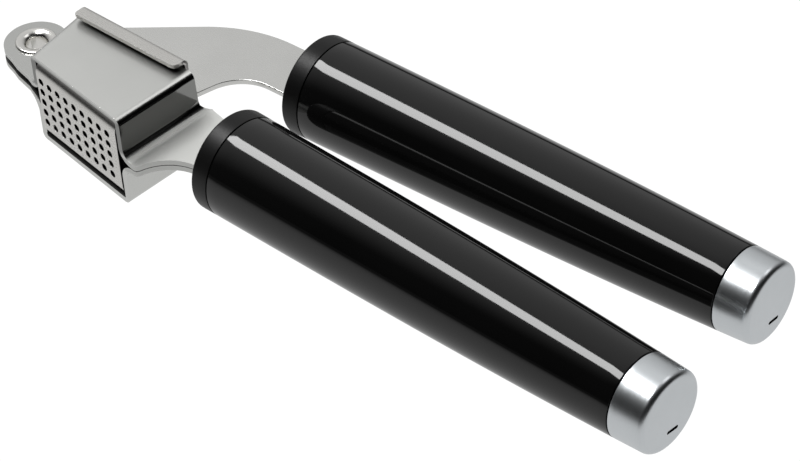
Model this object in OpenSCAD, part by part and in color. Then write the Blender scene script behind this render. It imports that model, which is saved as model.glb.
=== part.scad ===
// Garlic press with two round handles, lying on its side.
// The origin is on the hinge axis, half way through the head. +X runs along the
// frame handle, +Y towards the press arm, and +Z along the hinge axis.

/* [Head] */
// Width of the head across its two cheeks
head_w = 26; // [23:0.5:32]
// Sheet thickness of the two frame shells
frame_t = 1.5; // [1:0.1:1.8]
// Distance from the hinge to the wall beside it, at the near edge
inner_wall_x = 13.5; // [12.5:0.5:16]
// Length of the head between its two walls, at the near edge
head_len = 35.8; // [33:0.1:43]
// Lean of the wall beside the hinge
inner_wall_lean = 8.7; // [4:0.1:10]
// Lean of the wall beside the handle
outer_wall_lean = 2; // [0:0.1:4]
// How far the near edge lies from the hinge, beside the hinge
near_edge_y = 12.4; // [11.5:0.1:13.5]
// Slope of the near edge and of the perforated plate
near_edge_slope = 6.9; // [5:0.1:8]
// How far the open edge lies from the hinge, beside the hinge
open_edge_y = 6.4; // [5.5:0.1:8]
// Slope of the open edge
open_edge_slope = 1.2; // [0:0.1:2]
// Outside radius of the bends around each cheek
cheek_bend_r = 2; // [1.8:0.1:2.6]
// Radius of the bends at the foot of each wall
foot_bend_r = 3; // [2:0.1:3.5]

/* [Hinge] */
// Radius of the ear at the end of each shell
ear_r = 8.1; // [7.5:0.1:9.5]
// Radius of the hollow rivet's barrel
rivet_r = 4; // [3.5:0.1:4.4]
// Radius of the rivet's rolled heads
rivet_head_r = 5.3; // [4.9:0.1:6]
// Height of each rivet head above its ear
rivet_head_h = 0.6; // [0.4:0.1:1]
// Radius of the hole through the rivet
rivet_hole_r = 2.6; // [2:0.1:2.9]
// Running clearance around the pins, on the radius
pin_play = 0.05; // [0.02:0.01:0.09]
// Gap between the arm and each ear
ear_gap = 0.12; // [0.08:0.01:0.3]

/* [Strainer basket] */
// Sheet thickness of the basket
basket_t = 1; // [0.8:0.1:1.2]
// Gap between the basket and the frame
basket_gap = 0.3; // [0.2:0.05:0.4]
// Bend radius between the perforated plate and the basket's sides
basket_bend_r = 3; // [2:0.1:3.5]
// Columns of holes
hole_cols = 9; // [5:1:9]
// Rows of holes
hole_rows = 5; // [3:1:5]
// Distance between holes along the plate
hole_pitch_x = 3.35; // [3:0.05:3.4]
// Distance between holes across the plate
hole_pitch_z = 3.12; // [2.8:0.05:3.4]
// Diameter of each hole
hole_d = 2; // [1.4:0.1:2.2]
// Distance from the hinge side of the basket to the first holes
hole_margin = 1.75; // [1.5:0.05:2.5]
// Width of the rim that hooks over each cheek
lip_w = 4.4; // [3.5:0.1:5.5]
// Gap between the hooked rim and the cheek
lip_gap = 1.3; // [0.8:0.1:2]

/* [Press arm] */
// Thickness of the press arm
arm_t = 1.5; // [1.2:0.1:2.2]
// Width of both arms where they enter their handles
arm_w = 15.8; // [12:0.1:17]
// Radius of the arm's own eye
arm_eye_r = 7.4; // [6.5:0.1:8]
// Angle that the handles still close from the rest position
close_angle = 5; // [4:0.5:6]
// Thickness of the plunger plate
plunger_t = 2.4; // [2:0.1:3]
// Gap left between the closed plunger and the perforated plate
plunger_stop = 1.3; // [1.2:0.1:2]
// Length of the plunger plate
plunger_len = 26; // [20:0.5:27]
// Radius of the plunger's pin
plunger_pin_r = 1.5; // [1.2:0.1:1.8]

/* [Handles] */
// Overall length of a handle
handle_len = 132; // [110:1:150]
// Radius at the front end
handle_front_r = 12.97; // [11:0.01:15]
// Radius at the rear end
handle_rear_r = 10; // [8.8:0.1:12]
// Share of the taper that comes late, towards the rear
handle_belly = 0.59; // [0:0.01:1]
// Length of the front collar
collar_len = 5.1; // [4:0.1:10]
// Length of the metal end cap
cap_len = 9.2; // [6:0.1:16]
// Rounding around the end cap's face
cap_round = 1.5; // [0.8:0.1:2.5]
// Width of the groove between two handle pieces
seam_w = 0.25; // [0.1:0.05:0.5]
// Radius of the core inside a handle
core_r = 7.9; // [7.2:0.1:8]
// Distance from the hinge to the frame handle's front end
frame_handle_x = 67.3; // [64:0.1:75]
// Offset of the frame handle's axis from the hinge
frame_handle_y = 0.4; // [0:0.1:2]
// Distance from the hinge to the arm handle's front end
arm_handle_x = 63.65; // [62:0.05:75]
// Offset of the arm handle's axis from the hinge
arm_handle_y = 33.6; // [33.5:0.1:38]
// Angle of the arm handle at rest
arm_handle_angle = 3.2; // [1:0.1:6]
// Length of each tang inside its handle
tang_len = 55; // [30:1:80]

/* [Hidden] */
$fn = 64;
eps = 0.01;
far = 200;
head_h = head_w / 2;
outer_wall_x = inner_wall_x + head_len * cos(near_edge_slope);
near_corner = [inner_wall_x, -near_edge_y];
near_right_y = -near_edge_y - head_len * sin(near_edge_slope);
open_left_x = inner_wall_x - (near_edge_y + open_edge_y) * tan(inner_wall_lean);
open_right_x = outer_wall_x + (open_edge_y - near_right_y) * tan(outer_wall_lean);
open_right_y = open_edge_y + (open_right_x - open_left_x) * tan(open_edge_slope);
ear_in_z = arm_t / 2 + ear_gap;
ear_top_z = ear_in_z + frame_t;
head_mid_x = inner_wall_x + head_len / 2;

// Arms in plan
arm_half = arm_w / 2;
flare_r = 12;
flare_x = frame_handle_x - 2;
flare_tip_x = flare_x - flare_r;
flare_out = 1.3;
tang_w = 11.6;
tang_half = tang_w / 2;
tang_pin_r = 1.5;
tang_pin_x = [18, 42];
shoulder_r = 38;
hollow_r = 11;
shoulder_angle = 39.9;
blade_angle = 76;
blade_x = 44.6;
blade_y = 14.4;

// Strainer basket, from its corner beside the hinge
plate_proud = 0.3;
plate_in_y = basket_t - plate_proud;
basket_x0 = frame_t + basket_gap;
basket_x1 = head_len - frame_t - basket_gap;
basket_half = head_h - frame_t - basket_gap;
basket_in_half = basket_half - basket_t;
low_wall_h = 3;
lip_z = head_h + lip_gap;
lip_top_z = lip_z + basket_t;
lip_out = basket_t + 0.2;
lip_bend_r = 1.8;
lip_end_r = 1.5;
lip_left = frame_t + 0.4;
lip_right = 3;

// Plunger, in the closed position and from the same corner
plunger_y0 = plate_in_y + plunger_stop;
plunger_y1 = plunger_y0 + plunger_t;
plunger_x0 = basket_x0 + basket_t + 0.7;
plunger_half = basket_in_half - 0.4;
plunger_edge_r = 1.9;
bracket_t = 1;
bracket_gap = 0.3;
bracket_w = 12;
bracket_ear_r = 3;
pin_lift = 4.6;
pin_x = plunger_x0 + plunger_len / 2;
pin_y = plunger_y1 + pin_lift;
blade_tip_r = 3;
bracket_half = arm_t / 2 + bracket_gap + bracket_t;
pin_head_r = plunger_pin_r + 0.7;
pin_head_h = 0.6;

// Handles
collar_back = collar_len - seam_w;
cap_front = handle_len - cap_len;
rings = 14;
core_x0 = 2;
core_x1 = handle_len - 4;
slot_play = 0.15;
cap_slit_len = 3.8;
cap_slit_w = 0.9;
cap_slit_place = [0.7, -5.15];
cap_slit_tilt = -7.6;
cap_wall = 1.2;

steel = [0.78, 0.78, 0.76];
plate_steel = [0.82, 0.81, 0.79];
satin = [0.72, 0.74, 0.75];
gloss_black = [0.05, 0.05, 0.05];
matt_black = [0.12, 0.12, 0.12];
core_grey = [0.3, 0.3, 0.32];

// ---------------------------------------------------------------- helpers

function arc(c, r, a0, a1, n) =
    [for (i = [0:n]) let (a = a0 + (a1 - a0) * i / n) c + r * [cos(a), sin(a)]];

// Radius of the outer skin of a handle, at distance x from its front end
function skin_r(x) = let (s = x / handle_len)
    handle_front_r
    - (handle_front_r - handle_rear_r) * ((1 - handle_belly) * s + handle_belly * s * s * s);

// A square corner with its point rounded away, to take off or to fill in
module corner(x, y, sx, sy, r) {
    translate([x, y]) scale([sx, sy])
        difference() {
            translate([-eps, -eps]) square(r + eps);
            translate([r, r]) circle(r);
        }
}

// Places a piece in the frame of the near edge, at its corner by the hinge
module on_near_edge() {
    translate([near_corner.x, near_corner.y, 0]) rotate(-near_edge_slope) children();
}

// Places a piece of the closed plunger where it is at rest
module at_rest() {
    rotate(close_angle) on_near_edge() children();
}

// Turns a section in Y and Z into a bar along +X
module bar_x(x0, x1) {
    translate([x0, 0, 0]) rotate([90, 0, 90]) linear_extrude(x1 - x0) children();
}

// ---------------------------------------------------------------- frame

// Section of the head in X and Z, with everything under its skin filled
module head_section(inset) {
    x0 = inner_wall_x + inset;
    x1 = outer_wall_x - inset;
    top = head_h - inset;
    ear = ear_top_z - inset;
    neck = frame_t - inset;
    foot = foot_bend_r + inset;
    round_r = cheek_bend_r - inset;
    difference() {
        union() {
            translate([-far, -far]) square([far + x0 + eps, far + ear]);
            translate([x0, -far]) square([x1 - x0, far + top]);
            translate([x1 - eps, -far]) square([far, far + neck]);
            corner(x0, ear, -1, 1, foot);
            corner(x1, neck, 1, 1, foot);
        }
        corner(x0, top, 1, -1, round_r);
        corner(x1, top, -1, -1, round_r);
    }
}

// One end of the formed sheet: the section run along its own leaning wall
module formed_sheet(wall_x, wall_y, lean, x0, x1) {
    intersection() {
        translate([wall_x, wall_y, 0]) rotate(lean) translate([-wall_x, -wall_y, 0])
            rotate([90, 0, 0]) translate([0, 0, -far / 2]) linear_extrude(far)
                difference() {
                    head_section(0);
                    head_section(frame_t);
                }
        translate([x0, -far, 0]) cube([x1 - x0, 2 * far, far]);
    }
}

// Outline of a shell in plan
module frame_outline() {
    circle(ear_r);
    polygon([
        [-1.5, -ear_r + 0.14], [0.7, -ear_r - 0.45], [3, -ear_r - 1.25],
        [8.5, -ear_r - 2.3], near_corner,
        [inner_wall_x + eps, 0], [open_left_x, open_edge_y], [0.5, ear_r]
    ]);
    polygon([
        near_corner, [outer_wall_x, near_right_y], [open_right_x, open_right_y],
        [open_left_x, open_edge_y]
    ]);
    difference() {
        polygon([
            [outer_wall_x - 1, near_right_y + 0.12],
            [outer_wall_x, near_right_y],
            [flare_tip_x - 0.6, near_right_y - 0.3],
            [flare_tip_x + 0.3, near_right_y + 0.6],
            [flare_x, frame_handle_y - arm_half - flare_r],
            [flare_x, frame_handle_y - arm_half],
            [frame_handle_x + 1, frame_handle_y - arm_half],
            [frame_handle_x + 1, frame_handle_y + arm_half],
            [frame_handle_x - 8, frame_handle_y + arm_half],
            [open_right_x + 2.4, frame_handle_y + arm_half + flare_out],
            [open_right_x, open_right_y],
            [outer_wall_x - 1, open_right_y - 0.1]
        ]);
        translate([flare_x, frame_handle_y - arm_half - flare_r]) circle(flare_r);
    }
    translate([frame_handle_x, frame_handle_y - tang_half]) square([tang_len, tang_w]);
}

module frame_shell() {
    difference() {
        intersection() {
            union() {
                formed_sheet(inner_wall_x, -near_edge_y, inner_wall_lean, -far, head_mid_x);
                formed_sheet(outer_wall_x, near_right_y, -outer_wall_lean, head_mid_x, far);
            }
            linear_extrude(far) frame_outline();
        }
        cylinder(h = far, r = rivet_r);
        tang_pin_holes(frame_handle_x, frame_handle_y, 0);
    }
}

module upper_frame_shell() {
    color(steel) frame_shell();
}

module lower_frame_shell() {
    color(steel) mirror([0, 0, 1]) frame_shell();
}

// ---------------------------------------------------------------- basket

// Section of the basket in Y and Z, closed by the perforated plate
module basket_section() {
    in_r = basket_bend_r - basket_t;
    difference() {
        translate([-plate_proud, -basket_half]) square([far, 2 * basket_half]);
        difference() {
            translate([plate_in_y, -basket_in_half]) square([far, 2 * basket_in_half]);
            corner(plate_in_y, -basket_in_half, 1, 1, in_r);
            corner(plate_in_y, basket_in_half, 1, -1, in_r);
        }
        corner(-plate_proud, -basket_half, 1, 1, basket_bend_r);
        corner(-plate_proud, basket_half, 1, -1, basket_bend_r);
    }
}

// The whole space inside the basket's outer skin
module basket_block(x0, x1) {
    bar_x(x0, x1)
        difference() {
            translate([-plate_proud, -basket_half]) square([far, 2 * basket_half]);
            corner(-plate_proud, -basket_half, 1, 1, basket_bend_r);
            corner(-plate_proud, basket_half, 1, -1, basket_bend_r);
        }
}

module plate_holes() {
    row0 = -(hole_rows - 1) * hole_pitch_z / 2;
    for (col = [0:hole_cols - 1], row = [0:hole_rows - 1])
        translate([basket_x0 + hole_margin + col * hole_pitch_x, 0, row0 + row * hole_pitch_z])
            rotate([90, 0, 0]) cylinder(h = 4 * plate_in_y, d = hole_d, center = true, $fn = 24);
}

// Plan of the basket's sides: they end at the open edge and follow both walls
module basket_plan() {
    gap = frame_t + basket_gap;
    polygon([
        [near_corner.x + gap, near_corner.y - far],
        [near_corner.x + gap, near_corner.y + 1],
        [open_left_x + gap + 0.6, open_edge_y + lip_out - 1],
        [open_right_x - gap, open_right_y + lip_out - 1],
        [outer_wall_x - gap, near_right_y],
        [outer_wall_x - gap, near_right_y - far]
    ]);
}

// Rim bent over the open edge of a cheek, from the basket's side to its outside
module rim_section() {
    web_y = open_edge_y + lip_out;
    difference() {
        translate([web_y - lip_w, basket_in_half]) square([lip_w, lip_top_z - basket_in_half]);
        translate([web_y - lip_w - eps, basket_half])
            square([lip_w - basket_t + eps, lip_z - basket_half]);
        translate([web_y - lip_w - eps, basket_in_half - eps])
            square([lip_w - lip_bend_r + eps, lip_z - basket_in_half]);
        corner(web_y, lip_top_z, -1, -1, lip_bend_r);
        corner(web_y, basket_in_half, -1, 1, lip_bend_r);
    }
}

module rim() {
    len = open_right_x - open_left_x - lip_left - lip_right;
    translate([open_left_x, open_edge_y, 0]) rotate(open_edge_slope)
        translate([0, -open_edge_y, 0])
            difference() {
                bar_x(lip_left, lip_left + len) rim_section();
                translate([lip_left, open_edge_y + lip_out - lip_w, head_h])
                    linear_extrude(far) corner(0, 0, 1, 1, lip_end_r / 2);
                translate([lip_left + len, open_edge_y + lip_out - lip_w, head_h])
                    linear_extrude(far) corner(0, 0, -1, 1, lip_end_r);
            }
}

module strainer_basket() {
    color(plate_steel) {
        intersection() {
            on_near_edge()
                difference() {
                    union() {
                        bar_x(basket_x0 - 1, basket_x1 + 1) basket_section();
                        intersection() {
                            basket_block(basket_x0 - 1, basket_x0 + basket_t);
                            translate([0, -1, -far / 2]) cube([far, low_wall_h + 1, far]);
                        }
                    }
                    plate_holes();
                }
            translate([0, 0, -far / 2]) linear_extrude(far) basket_plan();
        }
        intersection() {
            on_near_edge() basket_block(basket_x0, basket_x1 + 1);
            translate([0, 0, -far / 2]) linear_extrude(far)
                intersection() {
                    basket_plan();
                    translate([-basket_t, 0]) difference() {
                        translate([far / 2, -far / 2]) square(far, center = true);
                        basket_plan();
                    }
                    translate([head_mid_x, -far]) square([far, far + open_edge_y]);
                }
        }
        rim();
        mirror([0, 0, 1]) rim();
    }
}

// ---------------------------------------------------------------- hinge

module hinge_rivet() {
    top = ear_top_z + rivet_head_h;
    dish_r = rivet_head_r - 0.6;
    dish_h = 2;
    color(steel)
        rotate_extrude()
            polygon([
                [rivet_hole_r, -top + dish_h], [dish_r, -top],
                [rivet_head_r - 0.3, -top], [rivet_head_r, -top + 0.3],
                [rivet_head_r, -ear_top_z], [rivet_r, -ear_top_z],
                [rivet_r, ear_top_z], [rivet_head_r, ear_top_z],
                [rivet_head_r, top - 0.3], [rivet_head_r - 0.3, top],
                [dish_r, top], [rivet_hole_r, top - dish_h]
            ]);
}

// ---------------------------------------------------------------- press arm

// Where the plunger's pin is at rest
function turn(p, a) = [p.x * cos(a) - p.y * sin(a), p.x * sin(a) + p.y * cos(a)];
pin_rest = turn(near_corner + turn([pin_x, pin_y], -near_edge_slope), close_angle);
arm_front = [arm_handle_x, arm_handle_y];
function on_arm(x, y) = arm_front + turn([x, y], arm_handle_angle);

// Where two lines cross, each given by a point and an angle
function cross_at(p, a, q, b) =
    let (k = ((q.x - p.x) * sin(b) - (q.y - p.y) * cos(b)) / sin(b - a))
    p + k * [cos(a), sin(a)];

// Points of a rounded corner at c, between a line at angle a and one at angle b
function bend(c, a, b, r, n) =
    let (t = (b - a) / 2, d = r / cos(t), m = (a + b) / 2)
    let (o = c + d * sign(t) * [-sin(m), cos(m)])
    arc(o, r, a - 90 * sign(t), b - 90 * sign(t), n);

module arm_outline() {
    top_line = on_arm(0, arm_half);
    low_line = on_arm(0, -arm_half);
    tangent = arm_eye_r * [-sin(shoulder_angle), cos(shoulder_angle)];
    shoulder = cross_at(tangent, shoulder_angle, top_line, arm_handle_angle);
    hollow = cross_at([blade_x, blade_y], blade_angle, low_line, arm_handle_angle);
    polygon(concat(
        [tangent],
        bend(shoulder, shoulder_angle, arm_handle_angle, shoulder_r, 16),
        [on_arm(1, arm_half), on_arm(1, -arm_half)],
        bend(hollow, arm_handle_angle + 180, blade_angle + 180, hollow_r, 12),
        [
            [blade_x - 1.5, blade_y - 6], [pin_rest.x + blade_tip_r, pin_rest.y + 1],
            pin_rest + [0, -blade_tip_r], pin_rest + [-2, -2], [4.5, -5.5], [0, 0]
        ]
    ));
}

// The flat plate that the arm is cut from, with its eye, blade tip and tang
module arm_blank() {
    translate([0, 0, -arm_t / 2]) {
        linear_extrude(arm_t) arm_outline();
        cylinder(h = arm_t, r = arm_eye_r);
        translate([pin_rest.x, pin_rest.y, 0]) cylinder(h = arm_t, r = blade_tip_r);
        translate([arm_front.x, arm_front.y, 0]) rotate(arm_handle_angle)
            translate([0, -tang_half, 0]) cube([tang_len, tang_w, arm_t]);
    }
}

module press_arm() {
    color(steel)
        difference() {
            arm_blank();
            cylinder(h = far, r = rivet_r + pin_play, center = true);
            translate([pin_rest.x, pin_rest.y, 0])
                cylinder(h = far, r = plunger_pin_r + pin_play, center = true);
            tang_pin_holes(arm_handle_x, arm_handle_y, arm_handle_angle);
        }
}

module plunger_plate() {
    color(plate_steel)
        at_rest()
            bar_x(plunger_x0, plunger_x0 + plunger_len)
                difference() {
                    translate([plunger_y0, -plunger_half]) square([plunger_t, 2 * plunger_half]);
                    corner(plunger_y0, -plunger_half, 1, 1, plunger_edge_r);
                    corner(plunger_y0, plunger_half, 1, -1, plunger_edge_r);
                }
}

module plunger_bracket() {
    color(steel)
        at_rest()
            difference() {
                union() {
                    translate([pin_x - bracket_w / 2, plunger_y1, -bracket_half])
                        cube([bracket_w, bracket_t, 2 * bracket_half]);
                    for (side = [-1, 1])
                        translate([pin_x, pin_y, side * (bracket_half - bracket_t / 2)])
                            bracket_ear();
                }
                translate([pin_x, pin_y, 0])
                    cylinder(h = far, r = plunger_pin_r, center = true);
            }
}

module bracket_ear() {
    translate([0, 0, -bracket_t / 2])
        linear_extrude(bracket_t) {
            circle(bracket_ear_r);
            translate([-bracket_w / 2, -pin_lift])
                square([bracket_w, bracket_t]);
            polygon([
                [-bracket_w / 2, -pin_lift + bracket_t], [bracket_w / 2, -pin_lift + bracket_t],
                [bracket_ear_r, 0], [-bracket_ear_r, 0]
            ]);
        }
}

module plunger_pin() {
    color(steel)
        at_rest()
            translate([pin_x, pin_y, 0]) {
                cylinder(h = 2 * bracket_half, r = plunger_pin_r, center = true);
                for (side = [0, 1])
                    mirror([0, 0, side]) translate([0, 0, bracket_half])
                        cylinder(h = pin_head_h, r = pin_head_r);
            }
}

// ---------------------------------------------------------------- handles

// Places a piece along a handle: its own X is the handle's axis
module along_handle(x, y, angle) {
    translate([x, y, 0]) rotate(angle) children();
}

// Turns a profile given as [distance along, radius] about the handle's axis
module turned() {
    rotate([0, 90, 0]) rotate([0, 0, 90]) rotate_extrude($fn = 96)
        mirror([1, -1]) children();
}

module tang_pin_holes(x, y, angle) {
    along_handle(x, y, angle)
        for (at = tang_pin_x)
            translate([at, 0, 0]) cylinder(h = far, r = tang_pin_r, center = true, $fn = 32);
}

// Slot that an arm of thickness t and width w passes through
module arm_slot(x0, x1, t, w) {
    translate([x0, -w / 2 - slot_play, -t / 2 - slot_play])
        cube([x1 - x0, w + 2 * slot_play, t + 2 * slot_play]);
}

module collar_piece(t) {
    edge = 0.5;
    difference() {
        turned()
            polygon([
                [0, 0], [0, skin_r(0) - edge], [edge / 3, skin_r(0) - edge / 3],
                [edge, skin_r(edge)], [collar_back, skin_r(collar_back)],
                [collar_back, core_r], [core_x0, core_r], [core_x0, 0]
            ]);
        arm_slot(-1, core_x0 + 1, t, arm_w);
    }
}

module grip_piece() {
    turned()
        polygon(concat(
            [[collar_len, core_r]],
            [for (i = [0:rings])
                let (x = collar_len + (cap_front - collar_len) * i / rings) [x, skin_r(x)]],
            [[cap_front, core_r]]
        ));
}

module cap_piece() {
    back = handle_len;
    front = cap_front + seam_w;
    edge_r = skin_r(back - cap_round);
    difference() {
        turned()
            polygon(concat(
                [[front, core_r], [front, skin_r(front)]],
                arc([back - cap_round, edge_r - cap_round], cap_round, 90, 0, 8),
                [[back, 0], [core_x1, 0], [core_x1, core_r]]
            ));
        translate([back - cap_wall, 0, 0]) rotate([90, 0, 90]) linear_extrude(far)
            cap_slit();
    }
}

// Short slit with round ends in the end face, below its middle
module cap_slit() {
    half = (cap_slit_len - cap_slit_w) / 2;
    translate(cap_slit_place) rotate(cap_slit_tilt) {
        square([2 * half, cap_slit_w], center = true);
        for (side = [-1, 1])
            translate([side * half, 0]) circle(d = cap_slit_w, $fn = 32);
    }
}

module core_piece(t) {
    difference() {
        turned() polygon([[core_x0, 0], [core_x0, core_r], [core_x1, core_r], [core_x1, 0]]);
        arm_slot(core_x0 - 1, tang_len + 1, t, tang_w);
        for (at = tang_pin_x)
            translate([at, 0, 0]) cylinder(h = far, r = tang_pin_r, center = true, $fn = 32);
    }
}

module tang_pin_pair() {
    pin_len = 2 * sqrt(core_r * core_r - tang_pin_r * tang_pin_r) - 0.6;
    for (at = tang_pin_x)
        translate([at, 0, 0]) cylinder(h = pin_len, r = tang_pin_r, center = true, $fn = 32);
}

module on_frame_handle() {
    along_handle(frame_handle_x, frame_handle_y, 0) children();
}

module on_arm_handle() {
    along_handle(arm_handle_x, arm_handle_y, arm_handle_angle) children();
}

module frame_collar() {
    color(matt_black) on_frame_handle() collar_piece(2 * frame_t);
}

module frame_grip() {
    color(gloss_black) on_frame_handle() grip_piece();
}

module frame_end_cap() {
    color(satin) on_frame_handle() cap_piece();
}

module frame_core() {
    color(core_grey) on_frame_handle() core_piece(2 * frame_t);
}

module frame_tang_pins() {
    color(steel) on_frame_handle() tang_pin_pair();
}

module arm_collar() {
    color(matt_black) on_arm_handle() collar_piece(arm_t);
}

module arm_grip() {
    color(gloss_black) on_arm_handle() grip_piece();
}

module arm_end_cap() {
    color(satin) on_arm_handle() cap_piece();
}

module arm_core() {
    color(core_grey) on_arm_handle() core_piece(arm_t);
}

module arm_tang_pins() {
    color(steel) on_arm_handle() tang_pin_pair();
}

upper_frame_shell();
lower_frame_shell();
strainer_basket();
hinge_rivet();
press_arm();
plunger_plate();
plunger_bracket();
plunger_pin();
frame_collar();
frame_grip();
frame_end_cap();
frame_core();
frame_tang_pins();
arm_collar();
arm_grip();
arm_end_cap();
arm_core();
arm_tang_pins();
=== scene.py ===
# %% [markdown]
# # A garlic press with two round handles
# The press is folded from stainless sheet: two mirrored frame shells, a strainer basket
# that hooks over them, and a flat press arm between their ears. The handles are turned
# parts: a black collar, a glossy black grip and a satin metal end cap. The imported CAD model
# fixes the size and place of every piece. This script builds each visible piece again in the
# same place, with the same sizes, and gives it its real surface.

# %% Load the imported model
import math

import bmesh
import bpy
from mathutils import Euler, Matrix, Vector


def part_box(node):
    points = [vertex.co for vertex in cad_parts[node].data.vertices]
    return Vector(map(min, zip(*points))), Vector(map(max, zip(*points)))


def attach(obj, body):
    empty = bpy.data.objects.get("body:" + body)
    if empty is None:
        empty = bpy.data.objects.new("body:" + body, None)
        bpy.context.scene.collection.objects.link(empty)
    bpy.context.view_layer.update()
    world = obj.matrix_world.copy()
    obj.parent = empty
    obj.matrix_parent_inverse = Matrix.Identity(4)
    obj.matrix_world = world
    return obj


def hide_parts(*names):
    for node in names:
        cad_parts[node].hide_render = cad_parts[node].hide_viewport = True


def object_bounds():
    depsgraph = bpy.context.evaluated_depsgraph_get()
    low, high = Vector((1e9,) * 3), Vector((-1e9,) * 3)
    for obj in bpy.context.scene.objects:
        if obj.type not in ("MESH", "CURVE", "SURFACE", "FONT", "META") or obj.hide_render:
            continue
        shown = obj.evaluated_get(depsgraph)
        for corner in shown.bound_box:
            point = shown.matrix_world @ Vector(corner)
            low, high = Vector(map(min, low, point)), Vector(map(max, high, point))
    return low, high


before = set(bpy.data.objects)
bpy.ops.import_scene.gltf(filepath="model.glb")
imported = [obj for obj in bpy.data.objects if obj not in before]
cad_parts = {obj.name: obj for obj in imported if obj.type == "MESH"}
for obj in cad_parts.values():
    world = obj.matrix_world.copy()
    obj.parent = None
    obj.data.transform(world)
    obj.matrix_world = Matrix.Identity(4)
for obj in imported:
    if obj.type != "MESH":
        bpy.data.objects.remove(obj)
cad_low, cad_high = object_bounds()

# %% [markdown]
# ## Units and boxes
# The frame is in metres, but sheet metal is thought of in millimetres. Every piece below is
# built in millimetres and scaled once, when it becomes an object, so the numbers can be read
# as a maker would write them on a drawing.

# %% Millimetres
MM = 0.001


def box_mm(node):
    """Lowest and highest corner of a CAD node, in millimetres."""
    low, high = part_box(node)
    return low / MM, high / MM


shell_high = box_mm("upper_frame_shell")[1]
print("head half height:", round(shell_high.z, 2), "mm")

# %% [markdown]
# ## Camera
# The press is seen from above its handle side. A long lens keeps the two handles almost
# parallel. The camera is set by a heading, a tilt and a small roll, as on a tripod head.

# %% Camera
CAMERA_PLACE = (0.461393, -0.338382, 0.434974)
CAMERA_HEADING = 0.786
CAMERA_TILT = 0.8438
CAMERA_ROLL = -0.067
CAMERA_LENS = 129.17

camera_data = bpy.data.cameras.new("camera")
camera_data.lens = CAMERA_LENS
camera_data.sensor_width = 36
camera = bpy.data.objects.new("camera", camera_data)
bpy.context.scene.collection.objects.link(camera)
aim = Euler((CAMERA_TILT, 0, CAMERA_HEADING)).to_matrix() @ Matrix.Rotation(CAMERA_ROLL, 3, "Z")
camera.matrix_world = Matrix.Translation(CAMERA_PLACE) @ aim.to_4x4()
bpy.context.scene.camera = camera
print("camera looks along", [round(x, 3) for x in -aim.col[2]])

# %% [markdown]
# ## Node helper
# A procedural material is a small graph. `add_node` makes one node, sets its values and
# links its inputs, so that each material below reads as a list of steps.

# %% Node helper
def add_node(tree, kind, links=None, **values):
    """One shader node. A value goes to a property or a socket, and a link comes from a socket."""
    node = tree.nodes.new(kind)
    for name, value in values.items():
        if hasattr(node, name):
            setattr(node, name, value)
        else:
            node.inputs[name.replace("_", " ")].default_value = value
    for name, source in (links or {}).items():
        tree.links.new(source, node.inputs[name])
    return node


def new_material(name):
    """An empty node material with its output node."""
    material = bpy.data.materials.new(name)
    material.use_nodes = True
    material.node_tree.nodes.clear()
    output = material.node_tree.nodes.new("ShaderNodeOutputMaterial")
    return material, material.node_tree, output


# %% [markdown]
# ## Table and light
# The press lies on a plain white light table, so there is hardly a shadow and the lower
# edges of the glossy grips pick up a soft grey. The table is white to the eye. In reflections
# it is dimmer, and brightest in a pool around the press, so that the undersides of the grips
# stay black. Above it one narrow softbox draws the thin stripe along both grips. A second,
# weaker one behind the head lights the bent edges of the steel, and a room that is lighter
# behind the press gives its flats their even grey.

# %% White table
TABLE_SIZE = 12.0
TABLE_DROP = 0.0004
TABLE_WHITE, TABLE_FAR = 1.04, 0.40
POOL_MIDDLE = (0.1, 0.015, 0)
POOL_SIZE = (0.13, 0.06, 1)
POOL_BRIGHT, POOL_BEYOND = 0.68, 0.05


def white_table(below):
    """A large plain floor just under the piece's lowest point."""
    bm = bmesh.new()
    bmesh.ops.create_grid(bm, x_segments=1, y_segments=1, size=TABLE_SIZE / 2)
    bmesh.ops.translate(bm, vec=(0, 0, below), verts=bm.verts)
    mesh = bpy.data.meshes.new("table")
    bm.to_mesh(mesh)
    bm.free()
    table = bpy.data.objects.new("table", mesh)
    bpy.context.scene.collection.objects.link(table)
    return table


def table_material():
    """White to the eye, and a softer light pool around the press for its reflections."""
    material, tree, output = new_material("white_table")
    place = add_node(tree, "ShaderNodeTexCoord").outputs["Object"]
    reach = add_node(tree, "ShaderNodeVectorMath", {0: place}, operation="LENGTH")
    seen = add_node(tree, "ShaderNodeMapRange", {"Value": reach.outputs["Value"]},
                    interpolation_type="SMOOTHSTEP", From_Min=0.5, From_Max=1.6,
                    To_Min=TABLE_WHITE, To_Max=TABLE_FAR)
    pool = add_node(tree, "ShaderNodeMapping", {"Vector": place}, vector_type="TEXTURE")
    pool.inputs["Location"].default_value = POOL_MIDDLE
    pool.inputs["Scale"].default_value = POOL_SIZE
    beyond = add_node(tree, "ShaderNodeVectorMath", {0: pool.outputs["Vector"]},
                      operation="LENGTH")
    mirrored = add_node(tree, "ShaderNodeMapRange", {"Value": beyond.outputs["Value"]},
                        interpolation_type="SMOOTHSTEP", From_Min=1.0, From_Max=4.5,
                        To_Min=POOL_BRIGHT, To_Max=POOL_BEYOND)
    direct = add_node(tree, "ShaderNodeLightPath").outputs["Is Camera Ray"]
    level = add_node(tree, "ShaderNodeMix", {
        "Factor": direct, "A": mirrored.outputs["Result"], "B": seen.outputs["Result"]})
    glow = add_node(tree, "ShaderNodeEmission", {"Strength": level.outputs["Result"]})
    tree.links.new(glow.outputs["Emission"], output.inputs["Surface"])
    return material


table = white_table(cad_low.z - TABLE_DROP)
table.data.materials.append(table_material())
print("table at", round(table.data.vertices[0].co.z, 4), "m")

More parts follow.
